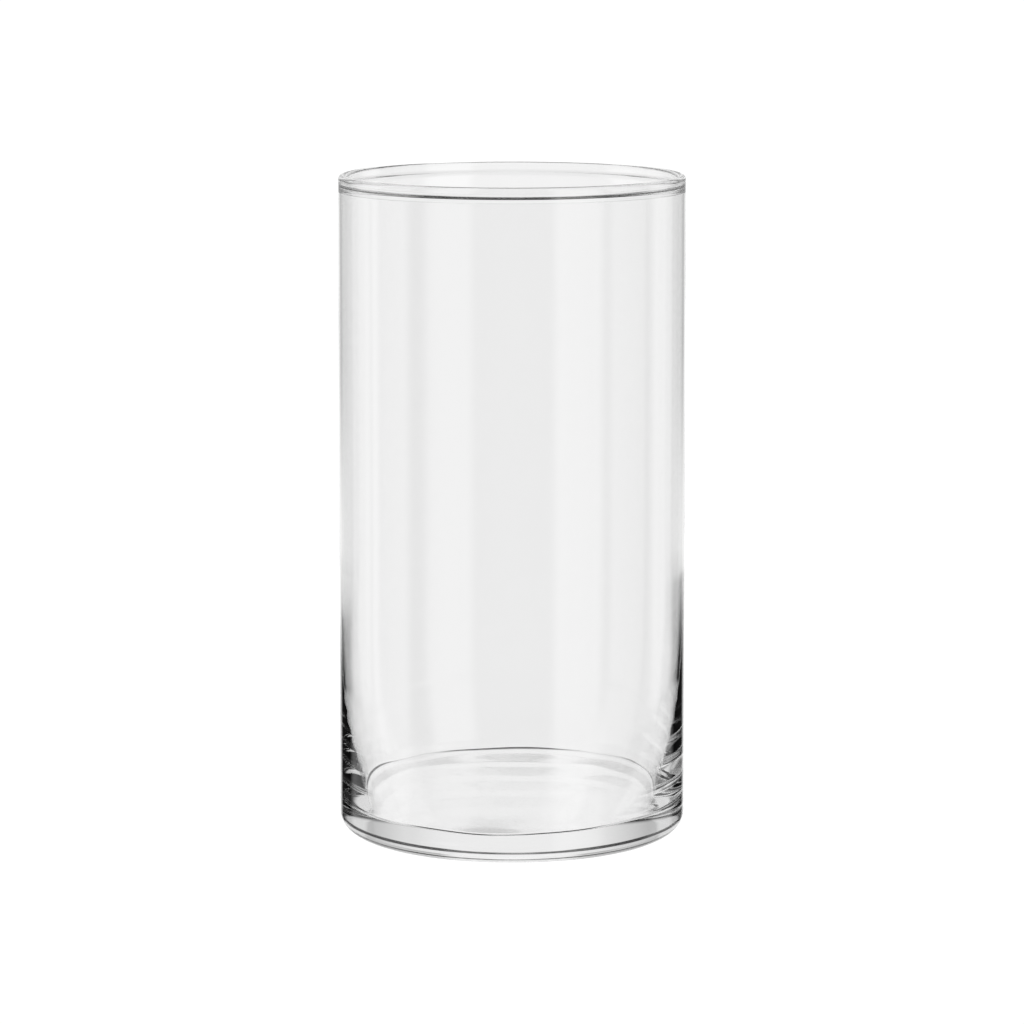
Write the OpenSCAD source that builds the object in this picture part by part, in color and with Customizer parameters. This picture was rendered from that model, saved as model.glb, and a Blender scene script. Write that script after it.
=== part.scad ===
// Glass cylinder vase, blown in one piece.
// One solid of revolution about +Z. The origin is the centre of the underside, so the vase stands on z = 0.
// The outside is very nearly a cylinder: it widens by a hair from the mouth to the foot. The inside follows
// it as a thin wall, swells inwards lower down, and meets a thick flat floor. The fire-polished lip is a
// bead about three times as thick as the wall. It stands inwards, and the short land inside it is the
// mouth bore.

/* [Overall] */
// Height from the table to the top of the lip
height = 250; // [150:1:400]
// Outside diameter just under the lip
mouth_d = 130.5; // [90:0.5:200]
// Outside diameter just above the heel
foot_d = 131.5; // [90:0.5:200]

/* [Wall] */
// Thickness of the plain wall
wall_t = 1.2; // [1:0.1:4]
// Thickness of the wall where it meets the floor
foot_wall_t = 7.4; // [4:0.1:20]
// Height at which the wall starts to thicken towards the floor
swell_top = 100; // [60:1:200]

/* [Lip] */
// Thickness of the rounded lip
lip_t = 3.4; // [2:0.1:6]
// Height of the straight land inside the lip, between its two roundings
lip_land = 0.6; // [0.4:0.1:6]
// Height over which the underside of the lip runs out into the wall
lip_blend = 0.4; // [0.2:0.1:6]

/* [Base] */
// Thickness of the floor
floor_t = 11.5; // [5:0.5:25]
// Radius of the inside corner between wall and floor
corner_r = 1.5; // [0.5:0.1:4]
// Radius of the outside corner at the foot
heel_r = 7; // [0.5:0.1:10]

/* [Hidden] */
$fn = 96;
// Straight pieces in each rounded corner, and in the swelling wall
CORNER_STEPS = 8;
SWELL_STEPS = 24;
// How sharply the wall swells: 1 would be a straight taper
SWELL_POWER = 3.4;
lip_r = lip_t / 2;
land_bottom = height - lip_r - lip_land;
// The lip's lower rounding is left at this angle, on the way down to the wall
LIP_LEAVES = 265;
blend_top = land_bottom + lip_r * sin(LIP_LEAVES);
blend_bottom = blend_top - lip_blend;

// Points on an arc about c, from angle a0 to angle a1
function arc(c, r, a0, a1, steps) =
    [for (i = [0:steps]) let (a = a0 + (a1 - a0) * i / steps) c + r * [cos(a), sin(a)]];

// Radius of the outside at height z
function outer_r(z) = foot_d / 2 + (mouth_d - foot_d) / 2 * (z - heel_r) / (height - lip_r - heel_r);

// Thickness of the wall at height z, below the lip
function wall_at(z) =
    let (depth = (swell_top - z) / (swell_top - floor_t))
    wall_t + (foot_wall_t - wall_t) * pow(max(0, depth), SWELL_POWER);

function inner_r(z) = outer_r(z) - wall_at(z);

// Outside of the section: from the centre of the underside, round the heel, up the wall and over the lip
function outside_points() = concat(
    [[0, 0]],
    arc([foot_d / 2 - heel_r, heel_r], heel_r, -90, 0, CORNER_STEPS),
    arc([mouth_d / 2 - lip_r, height - lip_r], lip_r, 0, 180, 2 * CORNER_STEPS)
);

// Inside of the section: down the land, under the lip, down the swelling wall, and round onto the floor
function inside_points() =
    let (
        swell_bottom = floor_t + corner_r,
        corner_x = inner_r(swell_bottom) - corner_r
    )
    concat(
        arc([mouth_d / 2 - lip_r, land_bottom], lip_r, 180, LIP_LEAVES, CORNER_STEPS),
        [[inner_r(blend_bottom), blend_bottom]],
        [for (i = [0:SWELL_STEPS])
            let (z = swell_top + (swell_bottom - swell_top) * i / SWELL_STEPS)
            [inner_r(z), z]],
        arc([corner_x, swell_bottom], corner_r, -90 / CORNER_STEPS, -90, CORNER_STEPS - 1),
        [[0, floor_t]]
    );

// The whole vase: a single piece of clear glass
module vase_body() {
    color([0.9, 0.93, 0.93, 0.35])
        rotate_extrude()
            polygon(concat(outside_points(), inside_points()));
}

vase_body();
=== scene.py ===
"""A blown glass cylinder vase before a white sweep, with dark screens that its edges pick up."""

import math

import bmesh
import bpy
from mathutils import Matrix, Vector


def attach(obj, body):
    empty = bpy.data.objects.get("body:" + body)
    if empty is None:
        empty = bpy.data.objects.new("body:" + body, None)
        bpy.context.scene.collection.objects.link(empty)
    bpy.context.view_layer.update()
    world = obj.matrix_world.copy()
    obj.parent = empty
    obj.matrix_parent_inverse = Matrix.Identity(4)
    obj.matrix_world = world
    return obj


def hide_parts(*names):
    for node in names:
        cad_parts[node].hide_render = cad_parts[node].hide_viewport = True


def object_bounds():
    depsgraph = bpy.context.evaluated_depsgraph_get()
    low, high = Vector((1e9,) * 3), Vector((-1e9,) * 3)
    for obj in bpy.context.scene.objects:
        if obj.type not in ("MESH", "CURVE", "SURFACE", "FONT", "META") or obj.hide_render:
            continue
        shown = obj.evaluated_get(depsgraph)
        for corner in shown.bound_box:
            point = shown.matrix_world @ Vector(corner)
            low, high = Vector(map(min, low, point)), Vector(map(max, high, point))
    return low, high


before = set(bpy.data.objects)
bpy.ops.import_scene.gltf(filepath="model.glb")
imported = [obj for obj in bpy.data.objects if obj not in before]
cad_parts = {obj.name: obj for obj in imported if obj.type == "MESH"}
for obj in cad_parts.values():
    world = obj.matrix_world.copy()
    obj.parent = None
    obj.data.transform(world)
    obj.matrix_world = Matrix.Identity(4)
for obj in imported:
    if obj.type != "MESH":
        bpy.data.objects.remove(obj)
cad_low, cad_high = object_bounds()

MM = 0.001
WHITE = (1, 1, 1, 1)

# The vase's own sizes. Its height and widest radius come from the frame, the rest are the CAD's named sizes.
HEIGHT = cad_high.z
SKIN = 0.03 * MM                                  # how far inside the frame's box the glass keeps
FOOT_R = min(cad_high.x, -cad_low.x, cad_high.y, -cad_low.y) - SKIN
MOUTH_R = FOOT_R - 0.5 * MM
LIP_T = 3.4 * MM
LIP_LAND = 0.6 * MM
LIP_BLEND = 0.4 * MM
LIP_LEAVES = 265                                  # where the lip's lower rounding ends, in degrees
WALL_T = 1.2 * MM
FOOT_WALL_T = 7.4 * MM
SWELL_TOP = 100 * MM
SWELL_POWER = 3.4
FLOOR_T = 11.5 * MM
CORNER_R = 1.5 * MM
HEEL_R = 7.0 * MM

# How finely the section is cut: along each stretch of it, and round the axis
UNDERSIDE_STEPS = 12
HEEL_STEPS = 24
SIDE_STEPS = 60
LIP_TOP_STEPS = 28
LIP_UNDER_STEPS = 14
BLEND_STEPS = 4
SWELL_STEPS = 110
CORNER_STEPS = 10
FLOOR_STEPS = 24
SPIN_STEPS = 256
MERGE_GAP = 1e-6

# Where the hand-blown inside strays from a true turned shape. A wave is: times round, height and phase.
BORE_LEAN = -0.6 * MM                             # the bore's drift to one side, at the floor
CALM_R = 0.5 * FOOT_R                             # radius at which the drift is whole and the rings begin
FLOOR_TILT = 0.015                                # rise of the floor per metre of depth
FLOOR_REACH = 40 * MM                             # height above the floor at which its tilt and waves end
FLOOR_EDGE = 0.85 * FOOT_R                        # radius at which its waves have their full height
FLOOR_WAVES = ((3, 0.35 * MM, 0.6), (5, 0.25 * MM, 2.1), (9, 0.15 * MM, 0))
RIPPLE = 0.03 * MM                                # height of the rings left inside the thick wall
RIPPLE_PITCH = 7 * MM
RIPPLE_DRIFT = ((2, 1.3, 0), (5, 0.7, 1))         # how far round their pitch the rings wander, in radians
RIPPLE_TURNS = 7                                  # times round that they swell and fade
RIPPLE_TWIST = 40                                 # and how fast that turns with height
TRUE_TOP = 8 * MM                                 # the top of the vase, where nothing strays

# The glass itself
GLASS_COLOR = (0.998, 0.998, 0.998, 1)
GLASS_IOR = 1.52
GLASS_BOUNCES = 14                                # light turns many times inside the thick foot
SKIN_WAVES = 14.0                                 # waves in its skin, per metre
SKIN_WAVE_HEIGHT = 0.4 * MM
SKIN_WAVE_STRENGTH = 0.08
MARKS = 38.0                                      # dull water marks, per metre
MARK_FROM = 0.58
MARK_TO = 0.75
MARK_ROUGHNESS = 0.012                            # at the middle of a mark

# Camera, in metres and degrees, and its field of view as a lens on a 36 mm sensor
CAMERA_BACK = 1.553
CAMERA_UP = 0.3695
CAMERA_PITCH = 9.06
CAMERA_LENS = 145.7
CAMERA_SENSOR = 36

# The room as the glass sees it, in degrees: bearings clockwise from +Y, and heights above the level
BACK_PANELS = {0: (0.96, 0.87), -90: (0.85, 0.25), 135: (0.9, 0.7)}    # bearing: light low down and high up
PANEL_TURN_FROM = 3                               # the heights between which a panel goes from low to high
PANEL_TURN_TO = 9
PANEL_HALF = 12
PANEL_FADE = 11
PANEL_TOP = 72
PANEL_TOP_FADE = 8
PANEL_FOOT = -50
PANEL_FOOT_FADE = 8
SIDE_LIGHT = 0.75                                 # the lighter strips beside the panel behind the vase
SIDE_FROM = 50
SIDE_TO = 68
SIDE_FADE = 10
SIDE_TOP = 16
SIDE_TOP_FADE = 14
BETWEEN_NEAR = 0.9                                # from the panel out to the strips, next to the panel
BETWEEN_FAR = 0.5                                 # and next to the strips
DIM_FOOT = -6.5                                   # from here up to the level, near is as dim as far
SCREEN_TOP = -11.0                                # dark screens across the space from panel to strips
SCREEN_FOOT = -16
SCREEN_FADE = 1.6
LEVEL_FADE = 3                                    # how far above and below the level a change there reaches
CAMERA_SIDE_LIGHT = 0.15                          # the floor on the camera's side
CAMERA_SIDE_FROM = 115                            # bearings on either hand
CAMERA_SIDE_TO = 135
SOFTBOX_LIGHT = 0.4                               # a wide box high over the camera
SOFTBOX_FROM = 45
SOFTBOX_TO = 84
SOFTBOX_FADE = 6
SOFTBOX_SIDE_FROM = 105
SOFTBOX_SIDE_TO = 125
NADIR_LIGHT = 0.9                                 # straight down, under the vase
NADIR_FROM = 79
NADIR_TO = 83
SHADOW_LIGHT = 0.02                               # everywhere else
SWEEP_LIGHT = 1.06                                # the backdrop and floor, as the camera sees them
STAGE_R = 6.0                                     # the pale floor under everything
STAGE_SIDES = 64
STAGE_DROP = 0.2 * MM                             # how far it lies below the vase


class Socket:
    """A shader socket that takes arithmetic: an expression on it adds Math nodes."""

    def __init__(self, tree, link):
        self.tree = tree
        self.link = link

    def math(self, operation, *values):
        made = self.tree.nodes.new("ShaderNodeMath")
        made.operation = operation
        for socket, value in zip(made.inputs, values):
            join(self.tree, socket, value)
        return Socket(self.tree, made.outputs[0])

    def __add__(self, other):
        return self.math("ADD", self, other)

    def __sub__(self, other):
        return self.math("SUBTRACT", self, other)

    def __rsub__(self, other):
        return self.math("SUBTRACT", other, self)

    def __mul__(self, other):
        return self.math("MULTIPLY", self, other)

    __radd__ = __add__
    __rmul__ = __mul__

    def __neg__(self):
        return self * -1

    def smoothstep(self, low, high):
        """0 up to low, 1 from high, and a smooth change between."""
        smooth = {"interpolation_type": "SMOOTHSTEP"}
        return add_node(self.tree, "ShaderNodeMapRange", smooth, Value=self, From_Min=low, From_Max=high)

    def band(self, low, high, fade):
        """1 between low and high, fading to 0 on both sides."""
        return self.smoothstep(low - fade, low) * (1 - self.smoothstep(high, high + fade))

    def largest(self, other):
        return self.math("MAXIMUM", self, other)


def join(tree, socket, value):
    """Links a Socket to a node's socket, or sets a plain value on it."""
    if isinstance(value, Socket):
        tree.links.new(value.link, socket)
    else:
        socket.default_value = value


def add_node(tree, kind, settings=None, output=0, **inputs):
    """A node of any kind: its settings first, then its sockets by name, with _ for a space."""
    made = tree.nodes.new(kind)
    for name, value in (settings or {}).items():
        setattr(made, name, value)
    for name, value in inputs.items():
        join(tree, made.inputs[name.replace("_", " ")], value)
    return Socket(tree, made.outputs[output]) if made.outputs else None


def new_material(name):
    material = bpy.data.materials.new(name)
    material.use_nodes = True
    material.node_tree.nodes.clear()
    return material, material.node_tree


# ---------------------------------------------------------------- the vase


def arc(centre, radius, start, end, steps):
    """Points on an arc in the r-z plane, from one angle to another, in degrees."""
    for i in range(steps + 1):
        angle = math.radians(start + (end - start) * i / steps)
        yield Vector((centre[0] + radius * math.cos(angle), 0, centre[1] + radius * math.sin(angle)))


def spread(a, b, steps):
    """Points strictly between two points of the section."""
    return [a.lerp(b, i / steps) for i in range(1, steps)]


def outer_r(z):
    return FOOT_R + (MOUTH_R - FOOT_R) * (z - HEEL_R) / (HEIGHT - LIP_T / 2 - HEEL_R)


def wall_at(z):
    depth = max(0.0, (SWELL_TOP - z) / (SWELL_TOP - FLOOR_T))
    return WALL_T + (FOOT_WALL_T - WALL_T) * depth ** SWELL_POWER


def inner_r(z):
    return outer_r(z) - wall_at(z)


def section():
    """Half the outline of the glass: from the underside's centre, up, over the lip and down to the floor."""
    lip_r = LIP_T / 2
    land_bottom = HEIGHT - lip_r - LIP_LAND
    blend_top = land_bottom + lip_r * math.sin(math.radians(LIP_LEAVES))
    blend_bottom = blend_top - LIP_BLEND
    swell_bottom = FLOOR_T + CORNER_R
    corner_x = inner_r(swell_bottom) - CORNER_R

    underside = Vector((0, 0, 0))
    heel = list(arc((FOOT_R - HEEL_R, HEEL_R), HEEL_R, -90, 0, HEEL_STEPS))
    lip_top = list(arc((MOUTH_R - lip_r, HEIGHT - lip_r), lip_r, 0, 180, LIP_TOP_STEPS))
    lip_under = list(arc((MOUTH_R - lip_r, land_bottom), lip_r, 180, LIP_LEAVES, LIP_UNDER_STEPS))
    wall_top = Vector((inner_r(blend_bottom), 0, blend_bottom))
    drop = (swell_bottom - blend_bottom) / SWELL_STEPS
    swell_heights = [blend_bottom + drop * i for i in range(SWELL_STEPS + 1)]
    swell = [Vector((inner_r(z), 0, z)) for z in swell_heights]
    corner = list(arc((corner_x, swell_bottom), CORNER_R, 0, -90, CORNER_STEPS))[1:]
    centre = Vector((0, 0, FLOOR_T))
    return (
        [underside] + spread(underside, heel[0], UNDERSIDE_STEPS)
        + heel + spread(heel[-1], lip_top[0], SIDE_STEPS)
        + lip_top + lip_under + spread(lip_under[-1], wall_top, BLEND_STEPS)
        + swell + corner + spread(corner[-1], centre, FLOOR_STEPS) + [centre]
    )


def waves(table, angle):
    """The sum of a table's waves at an angle round the axis."""
    return sum(height * math.sin(times * angle + phase) for times, height, phase in table)


def blown_inside(co):
    """Moves a point of the inside off the true turned shape: leaning bore, wavy floor, faint rings."""
    radius = math.hypot(co.x, co.y)
    angle = math.atan2(co.x, co.y)
    low = max(0.0, 1 - co.z / SWELL_TOP)
    near_floor = max(0.0, 1 - (co.z - FLOOR_T) / FLOOR_REACH)
    edge = min(1.0, radius / FLOOR_EDGE) ** 4
    co.x += BORE_LEAN * low * min(1.0, radius / CALM_R)
    co.z += FLOOR_TILT * co.y * near_floor
    co.z += waves(FLOOR_WAVES, angle) * near_floor ** 2 * edge
    if radius > CALM_R:
        ring = math.sin(2 * math.pi * co.z / RIPPLE_PITCH + waves(RIPPLE_DRIFT, angle))
        fading = 0.6 + 0.4 * math.sin(RIPPLE_TURNS * angle + RIPPLE_TWIST * co.z)
        push = RIPPLE * low ** 1.5 * ring * fading
        co.x += push * co.x / radius
        co.y += push * co.y / radius


def blow_vase():
    """The whole vase as one closed skin of glass: a section spun round the axis, then its inside reworked."""
    bm = bmesh.new()
    points = [bm.verts.new(p) for p in section()]
    edges = [bm.edges.new(pair) for pair in zip(points, points[1:])]
    bmesh.ops.spin(
        bm, geom=points + edges, cent=(0, 0, 0), axis=(0, 0, 1), angle=2 * math.pi, steps=SPIN_STEPS,
        use_merge=True,
    )
    bmesh.ops.remove_doubles(bm, verts=bm.verts, dist=MERGE_GAP)
    bmesh.ops.recalc_face_normals(bm, faces=bm.faces)
    for vert in bm.verts:
        radius = math.hypot(vert.co.x, vert.co.y)
        off_outside = radius < outer_r(vert.co.z) - 0.5 * WALL_T
        if off_outside and FLOOR_T - SKIN < vert.co.z < HEIGHT - TRUE_TOP:
            blown_inside(vert.co)
    mesh = bpy.data.meshes.new("blown_vase")
    bm.to_mesh(mesh)
    bm.free()
    mesh.shade_smooth()
    vase = bpy.data.objects.new("blown_vase", mesh)
    bpy.context.scene.collection.objects.link(vase)
    return vase


def clear_glass():
    """Clear fire-polished soda-lime glass, with faint waves in its skin and a few dull water marks."""
    material, tree = new_material("clear_glass")
    place = add_node(tree, "ShaderNodeTexCoord", output=3)
    skin = add_node(tree, "ShaderNodeTexNoise", Vector=place, Scale=SKIN_WAVES, Detail=2.0)
    bump = add_node(
        tree, "ShaderNodeBump", Height=skin, Strength=SKIN_WAVE_STRENGTH, Distance=SKIN_WAVE_HEIGHT,
    )
    marks = add_node(tree, "ShaderNodeTexNoise", Vector=place, Scale=MARKS, Detail=5.0)
    dullness = marks.smoothstep(MARK_FROM, MARK_TO) * MARK_ROUGHNESS
    glass = add_node(
        tree, "ShaderNodeBsdfPrincipled", Base_Color=GLASS_COLOR, Transmission_Weight=1.0, IOR=GLASS_IOR,
        Roughness=dullness, Normal=bump,
    )
    add_node(tree, "ShaderNodeOutputMaterial", Surface=glass)
    return material


# ---------------------------------------------------------------- studio


def hang_sweep():
    """White all round to the camera. The glass sees white panels behind the vase, and dark between them."""
    world = bpy.data.worlds.new("sweep")
    world.use_nodes = True
    tree = world.node_tree
    tree.nodes.clear()
    direction = add_node(tree, "ShaderNodeTexCoord", output=0)
    x, y, z = (add_node(tree, "ShaderNodeSeparateXYZ", output=i, Vector=direction) for i in range(3))
    bearing = x.math("ARCTAN2", x, y) * math.degrees(1)
    rise = z.math("ARCSINE", z) * math.degrees(1)
    sideways = bearing.math("ABSOLUTE", bearing)

    panel_span = rise.smoothstep(PANEL_FOOT - PANEL_FOOT_FADE, PANEL_FOOT)
    panel_span = panel_span * (1 - rise.smoothstep(PANEL_TOP, PANEL_TOP + PANEL_TOP_FADE))
    side_span = panel_span * (1 - rise.smoothstep(SIDE_TOP, SIDE_TOP + SIDE_TOP_FADE))
    off_screens = 1 - rise.band(SCREEN_FOOT, SCREEN_TOP, SCREEN_FADE)
    side_strips = side_span * sideways.band(SIDE_FROM, SIDE_TO, SIDE_FADE)
    between = side_span * off_screens * sideways.band(0, SIDE_TO, SIDE_FADE)
    above_level = rise.smoothstep(-LEVEL_FADE, LEVEL_FADE)
    camera_side = sideways.smoothstep(CAMERA_SIDE_FROM, CAMERA_SIDE_TO) * (1 - above_level)

    light = SHADOW_LIGHT + CAMERA_SIDE_LIGHT * camera_side
    for panel, (low_light, high_light) in BACK_PANELS.items():
        towards_panel = bearing.band(panel - PANEL_HALF, panel + PANEL_HALF, PANEL_FADE)
        panel_light = low_light + (high_light - low_light) * rise.smoothstep(PANEL_TURN_FROM, PANEL_TURN_TO)
        light = light.largest(panel_light * panel_span * towards_panel)
    light = light.largest(SIDE_LIGHT * side_strips)
    near_panel = 1 - sideways.smoothstep(PANEL_HALF, SIDE_FROM)
    near_panel = near_panel * (1 - rise.band(DIM_FOOT, 0, LEVEL_FADE))
    between_light = BETWEEN_FAR + (BETWEEN_NEAR - BETWEEN_FAR) * near_panel
    light = light.largest(between * between_light)
    softbox = sideways.smoothstep(SOFTBOX_SIDE_FROM, SOFTBOX_SIDE_TO)
    softbox = softbox * rise.band(SOFTBOX_FROM, SOFTBOX_TO, SOFTBOX_FADE)
    light = light.largest(SOFTBOX_LIGHT * softbox)
    light = light.largest(NADIR_LIGHT * (-rise).smoothstep(NADIR_FROM, NADIR_TO))

    camera_ray = add_node(tree, "ShaderNodeLightPath", output=0)
    strength = (camera_ray * SWEEP_LIGHT).largest(light)
    background = add_node(tree, "ShaderNodeBackground", Color=WHITE, Strength=strength)
    add_node(tree, "ShaderNodeOutputWorld", Surface=background)
    bpy.context.scene.world = world


def lay_floor():
    """A wide pale floor that only the camera sees. The glass sees the room's lights in its place."""
    bm = bmesh.new()
    bmesh.ops.create_circle(bm, cap_ends=True, radius=STAGE_R, segments=STAGE_SIDES)
    bmesh.ops.translate(bm, verts=bm.verts, vec=(0, 0, -STAGE_DROP))
    mesh = bpy.data.meshes.new("pale_floor")
    bm.to_mesh(mesh)
    bm.free()
    floor = bpy.data.objects.new("pale_floor", mesh)
    bpy.context.scene.collection.objects.link(floor)
    floor.visible_glossy = False
    floor.visible_transmission = False
    floor.visible_diffuse = False
    material, tree = new_material("pale_floor")
    glow = add_node(tree, "ShaderNodeEmission", Strength=SWEEP_LIGHT)
    add_node(tree, "ShaderNodeOutputMaterial", Surface=glow)
    mesh.materials.append(material)


def place_camera():
    data = bpy.data.cameras.new("camera")
    data.lens = CAMERA_LENS
    data.sensor_width = CAMERA_SENSOR
    data.dof.use_dof = False
    camera = bpy.data.objects.new("camera", data)
    camera.location = (0, -CAMERA_BACK, CAMERA_UP)
    camera.rotation_euler = (math.radians(90 - CAMERA_PITCH), 0, 0)
    bpy.context.scene.collection.objects.link(camera)
    bpy.context.scene.camera = camera


vase = blow_vase()
vase.data.materials.append(clear_glass())
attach(vase, "root")
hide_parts("vase_body")

hang_sweep()
lay_floor()
place_camera()
scene = bpy.context.scene
scene.view_settings.view_transform = "Standard"
scene.cycles.max_bounces = GLASS_BOUNCES
scene.cycles.transmission_bounces = GLASS_BOUNCES
scene.cycles.glossy_bounces = GLASS_BOUNCES
